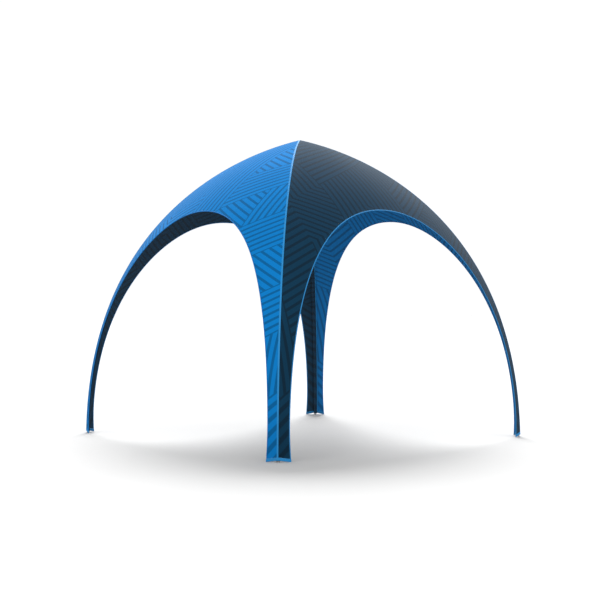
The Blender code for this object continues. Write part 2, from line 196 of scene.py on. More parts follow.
def ridge_frame(t, step=0.0001):
    """Ridge points, tangents, outward normals, half angles between the panels, directions along the
    front panel square to the ridge, and the width of the strip that follows it. A tangent is the line
    between two stations a short step apart, and a normal is square to it and to the cross direction."""
    half_side, z = ridge(t)
    point = np.stack([half_side, -half_side, z], axis=-1)
    ahead, behind = ridge(t + step), ridge(t - step)
    run, rise = ahead[0] - behind[0], ahead[1] - behind[1]
    tangent = unit(np.stack([run, -run, rise], axis=-1))
    normal = unit(np.cross(LATERAL, tangent))
    away = unit(np.cross(tangent, front_normal(half_side - BESIDE_RIDGE, z)))
    away *= np.where(away @ LATERAL > 0, -1, 1)[:, None]
    strip = np.minimum(SEAM_STRIP, 0.5 * half_side / np.abs(away[:, 0]))
    seam = point + away * strip[:, None]
    seam = on_front(seam[:, 0], seam[:, 2])
    chord = seam - point
    chord = unit(chord - np.sum(chord * tangent, axis=-1, keepdims=True) * tangent)
    half_angle = np.arctan2(-chord @ LATERAL, -np.sum(chord * normal, axis=-1))
    return point, tangent, normal, half_angle, away, strip


def section(t, inward, lateral):
    """Rows of points: the ridge point, less inward times the normal, plus lateral times the cross
    direction."""
    point, _, normal, _, _, _ = ridge_frame(t)
    return point[:, None] - inward[..., None] * normal[:, None] + lateral[..., None] * LATERAL


def mirrored_leg(points):
    """Mirror image in the leg's own diagonal plane, where x and -y change places."""
    return np.stack([-points[..., 1], -points[..., 0], points[..., 2]], axis=-1)


T_FOOT = float(t_at_height(HEM_HEIGHT + RIDGE_LIFT))
foot_half_angle = ridge_frame(np.array([T_FOOT]))[3][0]
print("half angle at the foot", round(math.degrees(foot_half_angle), 1), "degrees")

# %% [markdown]
# ## One mesh maker
# Nearly every piece here is a profile carried along a path: rings of points, joined ring to ring,
# with the two ends closed. By hand this would be one extrusion after another; an array does all the
# rings at once. One function turns such an array into a mesh, adds the flat maps that its pattern
# needs, and makes the piece ride on the tent. Faces are turned over if the skin would enclose a
# negative volume, so they always point outwards.

# %% Rings to mesh
FACES = ("front", "right", "back", "left")
LEGS = ("front_right", "back_right", "back_left", "front_left")


def finish_piece(name, mesh, material, stands_for=(), sharp=40):
    """A mesh made a piece of the tent: smooth but for edges over the sharp angle, fixed to the one body,
    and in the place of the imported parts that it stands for."""
    mesh.shade_smooth()
    mesh.set_sharp_from_angle(angle=math.radians(sharp))
    mesh.materials.append(material)
    made = bpy.data.objects.new(name, mesh)
    bpy.context.scene.collection.objects.link(made)
    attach(made, "root")
    if stands_for:
        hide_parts(*stands_for)
    return made


def ring_faces(rows, around):
    """Index quads of a tube and its two ends, into the points and into the flat maps, which have one
    more column because they don't close on themselves. An end is a ladder: point j is joined to the
    point as far from the ring's other end."""
    i, j = np.meshgrid(np.arange(rows - 1), np.arange(around), indexing="ij")
    after = (j + 1) % around
    walls = [i * around + j, (i + 1) * around + j, (i + 1) * around + after, i * around + after]
    flat = [i * (around + 1) + j, (i + 1) * (around + 1) + j]
    flat += [flat[1] + 1, flat[0] + 1]
    a = np.arange(around // 2 - 1)
    first = np.stack([a, a + 1, around - 2 - a, around - 1 - a], axis=-1)
    last = first[:, ::-1]
    quads = np.stack(walls, axis=-1).reshape(-1, 4)
    flats = np.stack(flat, axis=-1).reshape(-1, 4)
    quads = np.concatenate([quads, first, last + (rows - 1) * around])
    flats = np.concatenate([flats, first, last + (rows - 1) * (around + 1)])
    return quads, flats


def enclosed(points, quads):
    """Signed volume: the sum over triangles of first corner . (second x third) / 6."""
    a, b, c, d = (points[quads[:, k]] for k in range(4))
    triangles = np.sum(a * np.cross(b, c), axis=-1) + np.sum(a * np.cross(c, d), axis=-1)
    return float(triangles.sum() / 6)


def ring_mesh(name, rings, maps, inner_face=()):
    """Closed mesh through rings of points; maps[name] is (rows, around + 1, 2) in metres. For cloth
    and hems, inner_face has a 0 or 1 for each point of a ring."""
    rows, around = rings.shape[:2]
    points = rings.reshape(-1, 3)
    quads, flats = ring_faces(rows, around)
    if enclosed(points, quads) < 0:
        quads, flats = quads[:, ::-1], flats[:, ::-1]
    mesh = bpy.data.meshes.new(name)
    mesh.from_pydata(points.tolist(), [], quads.tolist())
    for title, flat in maps.items():
        layer = mesh.uv_layers.new(name=title)
        layer.data.foreach_set("uv", flat.reshape(-1, 2)[flats].astype(np.float32).ravel())
    if len(inner_face):
        side = mesh.attributes.new("inner_face", "FLOAT", "POINT")
        side.data.foreach_set("value", np.tile(np.asarray(inner_face, np.float32), rows))
    return mesh


def run_along(points):
    """Distance along a path from its first point."""
    return np.concatenate([[0.0], np.cumsum(np.linalg.norm(np.diff(points, axis=0), axis=-1))])


def tape_map(rings):
    """Flat map of a carried profile: metres along the path, metres round the profile."""
    along = run_along(rings.mean(axis=1))
    middle = rings[len(rings) // 2]
    around = run_along(np.concatenate([middle, middle[:1]]))
    return np.stack(np.meshgrid(along, around, indexing="ij"), axis=-1)


def carried_piece(name, rings, finish, stands_for=(), sharp=40, inner_face=()):
    """A finished piece from a carried profile, with the flat map that tapes need."""
    mesh = ring_mesh(name, rings, {"tape": tape_map(rings)}, inner_face)
    return finish_piece(name, mesh, finish, stands_for, sharp)


print("faces:", FACES, "legs:", LEGS)

# %% [markdown]
# ## A small language for materials
# Each finish is a tree of nodes, which could also be wired by hand in the shader editor. Short
# helpers keep the trees readable here: one adds a node and feeds its inputs in order, one does the
# same for arithmetic, and one gives a finish an uneven tone. A number that is the same all over a
# surface is set straight on the shader, because a linked one is lost when the model is exported.

# %% Node helpers
SHEEN_ROUGHNESS = 0.46     # a broad, soft sheen, seen where cloth turns away from the eye


def add_node(tree, kind, *feeds, **settings):
    """A new node; feeds go to its inputs in order, as sockets or as values, and None leaves an input
    as it is. Gives the node's first output."""
    made = tree.nodes.new(kind)
    for name, value in settings.items():
        setattr(made, name, value)
    for socket, feed in zip(made.inputs, feeds):
        if isinstance(feed, bpy.types.NodeSocket):
            tree.links.new(feed, socket)
        elif feed is not None:
            socket.default_value = feed
    return made.outputs[0]


def calc(tree, operation, *feeds):
    """One step of arithmetic inside a material."""
    return add_node(tree, "ShaderNodeMath", *feeds, operation=operation)


def new_finish(name, roughness, specular=0.5, sheen=0.0):
    """A material with these numbers all over it. Gives it with its tree and its shader."""
    made = bpy.data.materials.new(name)
    made.use_nodes = True
    shader = made.node_tree.nodes["Principled BSDF"]
    shader.inputs["Roughness"].default_value = roughness
    shader.inputs["Specular IOR Level"].default_value = specular
    shader.inputs["Sheen Weight"].default_value = sheen
    shader.inputs["Sheen Roughness"].default_value = SHEEN_ROUGHNESS
    return made, made.node_tree, shader


def flat_map(tree, title):
    """A piece's own flat map, as separate metres along and metres across."""
    place = add_node(tree, "ShaderNodeUVMap", uv_map=title)
    parts = add_node(tree, "ShaderNodeSeparateXYZ", place).node
    return parts.outputs[0], parts.outputs[1]


def object_place(tree):
    """Metres in the tent's own axes, for patterns that don't follow a surface."""
    return tree.nodes.new("ShaderNodeTexCoord").outputs["Object"]


def on_inner_side(tree):
    """1 on a piece's inner side, as its mesh says, and 0 elsewhere."""
    return add_node(tree, "ShaderNodeAttribute", attribute_name="inner_face").node.outputs["Fac"]


def blend(tree, factor, first, second):
    """Colour between two colours. A mix node's inputs for colours come after five others."""
    mixed = add_node(tree, "ShaderNodeMix", factor, *[None] * 5, first, second, data_type="RGBA")
    return mixed.node.outputs[2]


def shade_colour(tree, colour, amount):
    """A colour times a grey amount."""
    return add_node(tree, "ShaderNodeVectorMath", colour, None, None, amount, operation="SCALE")


def clouded(tree, shader, colour, scale, detail, swing, level):
    """Base colour of uneven tone: the colour times level + swing * noise. Gives the noise."""
    noise = add_node(tree, "ShaderNodeTexNoise", object_place(tree), None, scale, detail)
    tone = calc(tree, "MULTIPLY_ADD", noise, swing, level)
    tree.links.new(shade_colour(tree, colour, tone), shader.inputs["Base Color"])
    return noise


def raise_surface(tree, shader, height, depth):
    """Bump: the shader's normal leans as if the surface rose by height times depth, in metres."""
    bump = tree.nodes.new("ShaderNodeBump")
    bump.inputs["Strength"].default_value = 1.0
    bump.inputs["Distance"].default_value = depth
    tree.links.new(height, bump.inputs["Height"])
    tree.links.new(bump.outputs[0], shader.inputs["Normal"])


print("sheen of every finish has roughness", SHEEN_ROUGHNESS)

# %% [markdown]
# ## The print
# The cloth carries a tone-on-tone parquet of stripes. Three families of parallel lines run upright
# and at 30 degrees to the level, and each lozenge of a slanted grid shows one of the three, picked
# by a random number for that lozenge. Because the lozenges are a whole number of stripes high, the
# lines of two neighbours meet at the border and make chevrons. It could be painted as a picture, but
# drawn as arithmetic on the cloth's own flat map it stays sharp at any distance.

# %% Parquet print
STRIPE_PITCH = 0.076
STRIPES_IN_LOZENGE = 7
HALF_STRIPE = (0.225, 0.18)     # half a stripe's width in pitches, low down and high up
THINNING = (0.4, 1.6)           # heights on the print between which the stripes get thinner
SOFT_EDGE = 0.001               # half the width of a stripe's soft edge


def parquet(tree, across, upward, seed):
    """1 on a stripe and 0 between. Line numbers a0 = x, a1 = -x/2 + y*sqrt(3)/2 and a2 = -a0 - a1,
    in stripes; a stripe lies where the chosen number is close to a whole one."""
    a0 = calc(tree, "DIVIDE", across, STRIPE_PITCH)
    lifted = calc(tree, "MULTIPLY", upward, math.sqrt(3) / 2 / STRIPE_PITCH)
    a1 = calc(tree, "SUBTRACT", lifted, calc(tree, "MULTIPLY", a0, 0.5))
    a2 = calc(tree, "MULTIPLY", calc(tree, "ADD", a0, a1), -1.0)
    cell = add_node(
        tree, "ShaderNodeCombineXYZ",
        calc(tree, "FLOOR", calc(tree, "DIVIDE", a0, STRIPES_IN_LOZENGE)),
        calc(tree, "FLOOR", calc(tree, "DIVIDE", a1, STRIPES_IN_LOZENGE)),
        float(seed),
    )
    chance = add_node(tree, "ShaderNodeTexWhiteNoise", cell, noise_dimensions="3D")
    past_first = calc(tree, "GREATER_THAN", chance, 1 / 3)
    past_second = calc(tree, "GREATER_THAN", chance, 2 / 3)
    chosen = add_node(tree, "ShaderNodeMix", past_first, None, a0, a1)
    chosen = add_node(tree, "ShaderNodeMix", past_second, None, chosen, a2)
    offset = calc(tree, "FRACT", calc(tree, "ADD", chosen, 0.5))
    distance = calc(tree, "ABSOLUTE", calc(tree, "SUBTRACT", offset, 0.5))
    width = add_node(tree, "ShaderNodeMapRange", upward, *THINNING, *HALF_STRIPE)
    past = calc(tree, "SUBTRACT", distance, width)
    soft = SOFT_EDGE / STRIPE_PITCH
    return add_node(
        tree, "ShaderNodeMapRange", past, -soft, soft, 1.0, 0.0, interpolation_type="SMOOTHSTEP",
    )


print("a lozenge is", round(STRIPES_IN_LOZENGE * STRIPE_PITCH, 2), "m wide")

# %% [markdown]
# ## Printed polyester
# Coated tent cloth is matt with a fine plain weave, and has a soft sheen only where it turns away
# from the eye. Along a sewn edge the thread draws it into short puckers. Ground and stripe are two
# inks on one cloth, so they share weave, sheen and puckers and differ only in colour. On the inner
# side the print's colour is scaled down as painted shade, and a little grey is added as a painted
# sheen. A picture of cloth would blur from close by, and real folds along every seam would need many
# more faces, so both are a bump: the weave two crossed waves 1.2 mm wide, the puckers a noise that
# fades with the distance from the nearest seam, which each panel carries as a second flat map.

# %% Cloth finish
WEAVE = 0.0012
WEAVE_SHARE = 0.03         # height of the weave against the puckers
PUCKER_REACH = 0.035       # distance from a seam at which the puckers are down to a third
PUCKER_DEPTH = 0.0025
PUCKERS_TO_A_METRE = 16.0
INNER_PAINTED_SHEEN = (0.006, 0.006, 0.006)     # grey added to the inner side's colour as a painted sheen


def printed_cloth(name, ground, stripe, inner_painted_shade, sheen, seed):
    """Ink of the print, on the inner side darkened by a share as painted shade and lifted by a grey
    painted sheen; a bump of weave plus ripple * e^(-distance from the seam / reach)."""
    made, tree, shader = new_finish(name, roughness=1.0, specular=0.06, sheen=sheen)
    across, upward = flat_map(tree, "print")
    ink = blend(tree, parquet(tree, across, upward, seed), (*ground, 1.0), (*stripe, 1.0))
    # On the inner side the ink is darkened as painted shade and a grey painted sheen is added.
    painted_shade_and_sheen_ink = add_node(
        tree, "ShaderNodeVectorMath", ink, [inner_painted_shade] * 3, INNER_PAINTED_SHEEN, operation="MULTIPLY_ADD",
    )
    both_sides = blend(tree, on_inner_side(tree), ink, painted_shade_and_sheen_ink)
    clouded(tree, shader, both_sides, scale=2.1, detail=2.0, swing=0.12, level=0.94)
    warp = calc(tree, "SINE", calc(tree, "MULTIPLY", across, 2 * math.pi / WEAVE))
    weft = calc(tree, "SINE", calc(tree, "MULTIPLY", upward, 2 * math.pi / WEAVE))
    weave = calc(tree, "MULTIPLY", calc(tree, "MULTIPLY", warp, weft), WEAVE_SHARE)
    along, away = flat_map(tree, "seam")
    fade = calc(tree, "EXPONENT", calc(tree, "DIVIDE", away, -PUCKER_REACH))
    ripple = add_node(
        tree, "ShaderNodeTexNoise", None, along, PUCKERS_TO_A_METRE, 1.0, noise_dimensions="1D",
    )
    raise_surface(tree, shader, calc(tree, "MULTIPLY_ADD", ripple, fade, weave), PUCKER_DEPTH)
    return made


# Ground colour, stripe colour, the inner side's painted-shade share of them, and sheen weight
CLOTH = {
    "blue": ((0.0024, 0.143, 0.408), (0.0022, 0.084, 0.229), 0.77, 0.010),
    "navy": ((0.0030, 0.0260, 0.0550), (0.0028, 0.0155, 0.0310), 0.94, 0.065),
}
FACE_SLOT = ("blue", "navy", "blue", "navy")
PRINT_SEED = (282, 67, 5, 6)     # each face's own draw of stripe directions
FACE_CLOTH = [
    printed_cloth(f"{face}_printed_cloth", *CLOTH[slot], seed)
    for face, slot, seed in zip(FACES, FACE_SLOT, PRINT_SEED)
]
print("cloths:", [made.name for made in FACE_CLOTH])

# %% [markdown]
# ## Woven tape, thread and bindings
# Ridge tapes, foot hems and edge bindings are woven tape, light blue or blue. Its ribs run across the
# tape, 1.5 mm apart, and it is smoother than the cloth. A hem band's inner side is darkened as
# painted shade. The ribs could be modelled, but at this size waves on the tape's flat map look the
# same and cost nothing. Thread is a twisted cord that catches the light in short strands, and it is
# too thin for a map, so its strands are noise.

# %% Tape and thread finishes
TAPE_RIB = 0.0015
TAPE_STRAND = 0.0009
TAPE_BACK_PAINTED_SHADE = 0.68           # painted shade: a tape's inner side against its outer one, as a share of its colour


def woven_tape(name, colour):
    """Ribs and finer strands as two sine waves, along and across the tape; a marked inner side is
    darkened as painted shade.
    """
    made, tree, shader = new_finish(name, roughness=0.6, specular=0.03, sheen=0.02)
    along, across = flat_map(tree, "tape")
    # A marked inner side, which only the hem bands have, is darkened as painted shade.
    back_painted_shade = calc(tree, "MULTIPLY_ADD", on_inner_side(tree), TAPE_BACK_PAINTED_SHADE - 1, 1.0)
    both_sides = shade_colour(tree, colour, back_painted_shade)
    clouded(tree, shader, both_sides, scale=6.0, detail=3.0, swing=0.16, level=0.92)
    ribs = calc(tree, "SINE", calc(tree, "MULTIPLY", along, 2 * math.pi / TAPE_RIB))
    strands = calc(tree, "SINE", calc(tree, "MULTIPLY", across, 2 * math.pi / TAPE_STRAND))
    raise_surface(tree, shader, calc(tree, "MULTIPLY_ADD", strands, 0.4, ribs), depth=0.00006)
    return made


def sewing_thread(name, colour):
    """Twisted strands as noise under a millimetre wide, in the colour and in the bump."""
    made, tree, shader = new_finish(name, roughness=0.5, specular=0.15)
    twist = clouded(tree, shader, colour, scale=900.0, detail=1.0, swing=0.5, level=0.75)
    raise_surface(tree, shader, twist, depth=0.0002)
    return made


LIGHT_TAPE = woven_tape("light_blue_tape", (0.024, 0.203, 0.460))
BLUE_BINDING = woven_tape("blue_binding_tape", (0.0030, 0.110, 0.340))
LIGHT_BINDING = woven_tape("light_blue_binding_tape", (0.024, 0.170, 0.390))
TAPE_THREAD = sewing_thread("tape_thread", (0.016, 0.140, 0.320))
BLUE_THREAD = sewing_thread("blue_thread", (0.006, 0.10, 0.30))
NAVY_THREAD = sewing_thread("navy_thread", (0.012, 0.040, 0.080))
print("tapes:", LIGHT_TAPE.name, BLUE_BINDING.name, LIGHT_BINDING.name)

# %% [markdown]
# ## The four panels
# A panel is one piece of cloth from foot to foot, cut out by the arch. It could be a coarse sheet
# smoothed by a subdivision, but then its edges would leave the ridges. So its rows run from the
# arch's edge to the ridge, and there are so many of them that the curve looks smooth as it is. The
# real cloth is a third of a millimetre thick; here it is 1.8 mm, thick enough to have a clean rim
# and thin enough to read as cloth.

# %% Where a panel's cloth ends
FIT = 0.0004               # gap kept between touching pieces
TIP_HALF_SIDE = 0.0016     # half side at which the cloth stops under the peak
T_PEAK = float(t_at_half_side(TIP_HALF_SIDE))
CLOTH_THICKNESS = 0.0018
BINDING_SETBACK = 0.0084   # the cut edge lies this far behind the arch line
EDGE_CROWDING = 0.757      # under 1, rows meet the arch closer together at its crown
ROWS = 161
COLUMNS = 37


def free_edge(t):
    """The cut edge on the panel's right half, for ridge stations t: u, z, surface normals and the
    directions into the opening. The arch's angle grows with the station's share ** crowding."""
    share = (t - T_FOOT) / (T_PEAK - T_FOOT)
    foot = arch_angle_at_height(HEM_HEIGHT)
    angle = foot + (QUARTER - foot) * share**EDGE_CROWDING
    step = 0.002
    u, z = arch(angle)
    ahead = on_front(*arch(np.minimum(angle + step, QUARTER)))
    along = unit(ahead - on_front(*arch(angle - step)))
    along[-1] = (-1.0, 0.0, 0.0)
    into = unit(np.cross(front_normal(u, z), along))
    down_and_left = np.array([-1.0, 0.0, -1.0])
    into *= np.where(into @ down_and_left < 0, -1, 1)[:, None]
    u = u - BINDING_SETBACK * into[:, 0]
    z = z - BINDING_SETBACK * into[:, 2]
    u[-1] = 0.0
    z[0] = hem_bottom(u[0]) + HEM_HEIGHT + FIT
    return u, z, front_normal(u, z), into


def both_halves(half, flip=(-1.0, 1.0, 1.0)):
    """The right half from the ground up, then its mirror image from the top down."""
    return np.concatenate([half, half[:-1][::-1] * np.array(flip)])


ROW_T = np.linspace(T_FOOT, T_PEAK, ROWS)
edge_u, edge_z, edge_normal, edge_into = free_edge(ROW_T)
arch_path = both_halves(on_front(edge_u, edge_z))
print("cut edge of one arch:", round(float(run_along(arch_path)[-1]), 2), "m")

# %% Maps of the cloth
MIDDLE_SWELL = 1.2         # from the axis to a panel's middle line, as a share of the half side
FOOT_SQUEEZE = 0.5         # what the print loses of its length at the ground
PRINT_SHIFT = ((0.21, 0.18), (1.74, 0.10), (3.05, 0.52), (5.33, 0.22))     # of each face's print


def seam_map(points, seams):
    """Metres along the nearest seam and metres from it, for each point."""
    flat = points.reshape(-1, 3)
    best = np.full(len(flat), np.inf)
    along = np.zeros(len(flat))
    for seam in seams:
        gap = np.linalg.norm(flat[:, None] - seam[None], axis=-1)
        nearest = gap.argmin(axis=1)
        distance = gap.min(axis=1)
        along = np.where(distance < best, run_along(seam)[nearest], along)
        best = np.minimum(best, distance)
    return np.stack([along, best], axis=-1).reshape(*points.shape[:-1], 2)


middle_run = np.hypot(MIDDLE_SWELL * np.diff(TABLE_HALF_SIDE), np.diff(TABLE_Z))
kept = 1 - FOOT_SQUEEZE * np.exp(-(TABLE_Z[1:] ** 2))
TABLE_PRINT = np.concatenate([[0.0], np.cumsum(middle_run * kept)])


def print_map(u, z, turn):
    """Flat print coordinates on the panel that faces this way: u, and the length up the middle of a
    panel. At the feet that length is squeezed to half, so that the stripes look twice as tall."""
    across, upward = PRINT_SHIFT[turn]
    return np.stack([u + across, np.interp(z, TABLE_Z, TABLE_PRINT) + upward], axis=-1)


print("print up to the peak:", round(float(TABLE_PRINT[-1]), 2), "m")

# %% Panel cloth
def panel_grid():
    """Outer and inner points and their (u, z): row by row from the cut edge to the ridge, crowded
    towards both by a cosine, the last column mitred against the next panel."""
    point, _, normal, half_angle, _, _ = ridge_frame(ROW_T)
    across = (1 - np.cos(np.linspace(0, math.pi, COLUMNS))) / 2
    ridge_u, ridge_z = point[:, 0].copy(), point[:, 2].copy()
    ridge_z[0] += FIT
    u = edge_u[:, None] + (ridge_u - edge_u)[:, None] * across
    z = edge_z[:, None] + (ridge_z - edge_z)[:, None] * across
    u[-1] = 0.0
    outer = on_front(u, z)
    inner = outer - CLOTH_THICKNESS * front_normal(u, z)
    outer[:-1, -1] = point[:-1] - FIT / 2 * LATERAL
    inner[:-1, -1] = outer[:-1, -1] - (CLOTH_THICKNESS / np.sin(half_angle))[:-1, None] * normal[:-1]
    outer[0, -1, 2] += FIT
    inner[0, :, 2] = outer[0, :, 2]
    return outer, inner, u, z


def there_and_back(grid):
    """Out along a row and back again, plus the first column once more to close the flat map."""
    return np.concatenate([grid, grid[:, ::-1], grid[:, :1]], axis=1)


outer, inner, panel_u, panel_z = panel_grid()
fine_t = np.linspace(T_FOOT, T_PEAK, 500)
ridge_line = ridge_frame(fine_t)[0]
edge_line = on_front(*free_edge(fine_t)[:2])
rings = np.concatenate([both_halves(outer), both_halves(inner)[:, ::-1]], axis=1)
whole_u = both_halves(panel_u, -1.0)
whole_z = both_halves(panel_z, 1.0)
whole_seams = both_halves(seam_map(outer, (ridge_line, edge_line)), 1.0)
for turn, face in enumerate(FACES):
    name = f"{face}_canopy_cloth"
    maps = {
        "print": there_and_back(print_map(whole_u, whole_z, turn)),
        "seam": there_and_back(whole_seams),
    }
    # The inner face's columns take the inner side's painted shade and painted sheen.
    mesh = ring_mesh(name, turned(rings, turn), maps, np.repeat([0, 1], COLUMNS))
    finish_piece(name, mesh, FACE_CLOTH[turn], [f"{face}_panel"])

# %% [markdown]
# ## Binding round each arch
# The cut edge is bound: a folded tape grips the cloth from both sides and ends in a slim rolled
# bead. A curve with a round bevel would give the bead but not the lips, so the whole profile is
# drawn once and carried round the arch. On the blue panels it is blue; on the navy ones it is light
# blue and draws the arch as a bright line.

# %% Arch bindings
LIP = 0.003                # how far the binding's lips reach over the cloth
LIP_THICKNESS = 0.001
LIP_GAP = 0.0003           # between a lip and the cloth
FOLD = 0.0006              # the fold's inner end, past the cut edge
BEAD_ACROSS, BEAD_THROUGH = 0.0038, 0.0036      # half sizes of the bead
BEAD_MIDDLE = 0.0046       # from the cut edge to the middle of the bead
BEAD_SWING = math.radians(128)


def binding_profile():
    """Points (into the opening, outwards) of the closed profile: the outer lip's top, the bead's
    ellipse, the inner lip's underside, and back round the cloth's edge inside the fold."""
    top = LIP_GAP + LIP_THICKNESS
    inner_gap = -CLOTH_THICKNESS - LIP_GAP
    under = inner_gap - LIP_THICKNESS
    swing = np.linspace(BEAD_SWING, -BEAD_SWING, 17)
    bead_u = BEAD_MIDDLE + BEAD_ACROSS * np.cos(swing)
    bead_out = (top + under) / 2 + BEAD_THROUGH * np.sin(swing)
    first = [(-LIP, LIP_GAP), (-LIP, top - 0.0003), (-LIP + 0.0006, top), (0.0005, top + 0.0004)]
    last = [(0.0005, under - 0.0004), (-LIP + 0.0006, under), (-LIP, under + 0.0003)]
    back = [(-LIP, inner_gap), (FOLD, inner_gap), (FOLD, LIP_GAP)]
    return np.concatenate([first, np.stack([bead_u, bead_out], axis=-1), last, back])


def binding_rings():
    """The profile in the axes of each place on the cut edge; the lowest ring is level with the hem."""
    profile = binding_profile()
    side = edge_into[:, None] * profile[:, :1]
    lift = edge_normal[:, None] * profile[:, 1:]
    half = on_front(edge_u, edge_z)[:, None] + side + lift
    half[0, :, 2] = hem_bottom(half[0, :, 0]) + HEM_HEIGHT + FIT
    return both_halves(half)


bindings = []
for turn, face in enumerate(FACES):
    finish, slot = ((BLUE_BINDING, "blue"), (LIGHT_BINDING, "light_blue"))[turn % 2]
    rings = turned(binding_rings(), turn)
    bindings.append(carried_piece(
        f"{face}_arch_binding", rings, finish, [f"{face}_arch_piping"], sharp=50,
    ))
print("binding bead", round(2000 * BEAD_ACROSS), "x", round(2000 * BEAD_THROUGH), "mm")

# %% [markdown]
# ## Ridge tapes
# Where two panels meet, a light blue tape covers the seam. It lies almost wholly on the blue side,
# 16 mm wide, with only a narrow turn-over on the navy side. A strip could be shrink-wrapped on the
# cloth, but here each point of it is worked out: a place on the panel, so many millimetres from the
# ridge, lifted off the cloth by the tape's thickness.

# %% Tape over a ridge
TAPE_ON_BLUE = 0.016
TAPE_ON_NAVY = 0.004
TAPE_GAP = 0.0003
TAPE_THICKNESS = 0.0012
TAPE_TOP = TAPE_GAP + TAPE_THICKNESS
TAPE_STOPS = 0.0032        # from the upright axis to the tapes' upper ends
T_TAPE_END = float(t_at_half_side(TAPE_STOPS / math.sqrt(2)))


def beside_ridge(t, distance, lift):
    """Points of the front panel so far from the ridge, lifted along its normal: rows for t, columns
    for distance. Near the peak the distance is held to a share of the strip that is left."""
    point, _, _, _, away, strip = ridge_frame(t)
    reach = np.minimum(distance, 0.9 * strip[:, None])
    u = point[:, :1] + away[:, :1] * reach
    z = point[:, 2:] + away[:, 2:] * reach
    return on_front(u, z) + front_normal(u, z) * lift[..., None]


def tape_rings(front_arm, right_arm):
    """The tape's outer face from the front arm's edge over the ridge to the right arm's edge, and
    back underneath. Its lower end follows the hem's upper edge."""
    t = np.linspace(T_FOOT, T_TAPE_END, 200)
    point, _, normal, half_angle, _, _ = ridge_frame(t)
    upper = TAPE_TOP - np.array([0.0005, 0.0, 0.0, 0.0, 0.0, 0.0])
    sides = []
    for arm in (front_arm, right_arm):
        distance = np.array([arm, arm - 0.0004, arm * 0.75, arm * 0.5, arm * 0.25, 0.0012])
        sides.append([beside_ridge(t, distance, lift) for lift in (upper, 0 * upper + TAPE_GAP)])
    (front_top, front_low), (right_top, right_low) = sides
    right_top, right_low = mirrored_leg(right_top)[:, ::-1], mirrored_leg(right_low)[:, ::-1]
    over = (point + normal * 1.1 * TAPE_TOP)[:, None]
    under = (point + normal * (TAPE_GAP / np.sin(half_angle))[:, None])[:, None]
    outer_face = np.concatenate([front_top, over, right_top], axis=1)
    inner_face = np.concatenate([front_low, under, right_low], axis=1)
    made = np.concatenate([outer_face, inner_face[:, ::-1]], axis=1)
    u = np.abs(made[0, :, :2]).min(axis=-1)
    made[0, :, 2] = hem_bottom(np.minimum(u, HALF_SIDE)) + HEM_HEIGHT + FIT
    return made


tapes = []
for turn, leg in enumerate(LEGS):
    arms = (TAPE_ON_NAVY, TAPE_ON_BLUE) if turn % 2 else (TAPE_ON_BLUE, TAPE_ON_NAVY)
    tapes.append(carried_piece(
        f"{leg}_ridge_tape_finished", turned(tape_rings(*arms), turn), LIGHT_TAPE,
        [f"{leg}_ridge_tape"], sharp=50,
    ))
print("tape length:", round(float(run_along(ridge_line)[-1]), 2), "m")

# %% [markdown]
# ## Stitching
# A stitch is a short bar of thread with rounded ends that sits half sunk in the cloth. Thousands of
# them are needed. Instances of one bar on a curve would be lighter, but a plain mesh comes through
# every export whole. So one bar of 16 points is worked out and copied to every place at once by
# array arithmetic: place + length * tangent + width * side + height * normal.

# %% Rows of stitches
STITCH_PITCH = 0.010
STITCH_LENGTH = 0.0062
STITCH_WIDTH = 0.0013
STITCH_RISE = 0.0010


def stitch_bars(path, normals):
    """Stitches along a path, as points (count, 4 rings, 4 corners, 3)."""
    along = run_along(path)
    middles = np.arange(STITCH_PITCH, along[-1] - STITCH_PITCH, STITCH_PITCH)
    pick = lambda values, at: np.stack([np.interp(at, along, values[:, k]) for k in range(3)], axis=-1)
    tangent = unit(pick(path, middles + STITCH_LENGTH / 2) - pick(path, middles - STITCH_LENGTH / 2))
    side = unit(np.cross(tangent, pick(normals, middles)))
    axes = (pick(path, middles), tangent, side, np.cross(side, tangent))
    place, tangent, side, normal = (axis[:, None, None] for axis in axes)
    length = STITCH_LENGTH * np.array([-0.5, -0.34, 0.34, 0.5])[:, None, None]
    wide = np.array([0.5, 1.0, 1.0, 0.5])[:, None, None]
    width = STITCH_WIDTH / 2 * wide * np.array([1.0, 0.35, -0.35, -1.0])[:, None]
    high = np.array([0.1, 1.0, 1.0, 0.1])[:, None, None]
    rise = STITCH_RISE * high * np.array([0.0, 1.0, 1.0, 0.0])[:, None]
    return place + length * tangent + width * side + rise * normal


def stitch_piece(name, rows, finish, turn):
    """One object for several rows of stitches, each row a (path, normals) pair."""
    bars = np.concatenate([stitch_bars(path, normals) for path, normals in rows])
    points = turned(bars.reshape(-1, 3), turn)
    quads, _ = ring_faces(4, 4)
    if enclosed(points[:16], quads) < 0:
        quads = quads[:, ::-1]
    faces = (quads[None] + 16 * np.arange(len(bars))[:, None, None]).reshape(-1, 4)
    mesh = bpy.data.meshes.new(name)
    mesh.from_pydata(points.tolist(), [], faces.tolist())
    return finish_piece(name, mesh, finish, sharp=60), len(bars)


print("a stitch is", round(1000 * STITCH_LENGTH, 1), "mm long")

# %% Stitches round the arches
STITCHES_BEHIND_EDGE = 0.0145
row_u = edge_u - STITCHES_BEHIND_EDGE * edge_into[:, 0]
row_z = edge_z - STITCHES_BEHIND_EDGE * edge_into[:, 2]
row_normal = front_normal(row_u, row_z)
row_place = on_front(row_u, row_z)
outside = both_halves(row_place), both_halves(row_normal)
inside = both_halves(row_place - CLOTH_THICKNESS * row_normal), both_halves(-row_normal)
arch_stitches = []
for turn, face in enumerate(FACES):
    thread = NAVY_THREAD if turn % 2 else BLUE_THREAD
    made, count = stitch_piece(f"{face}_arch_stitches", (outside, inside), thread, turn)
    arch_stitches.append(made)
print("stitches round one arch:", count)

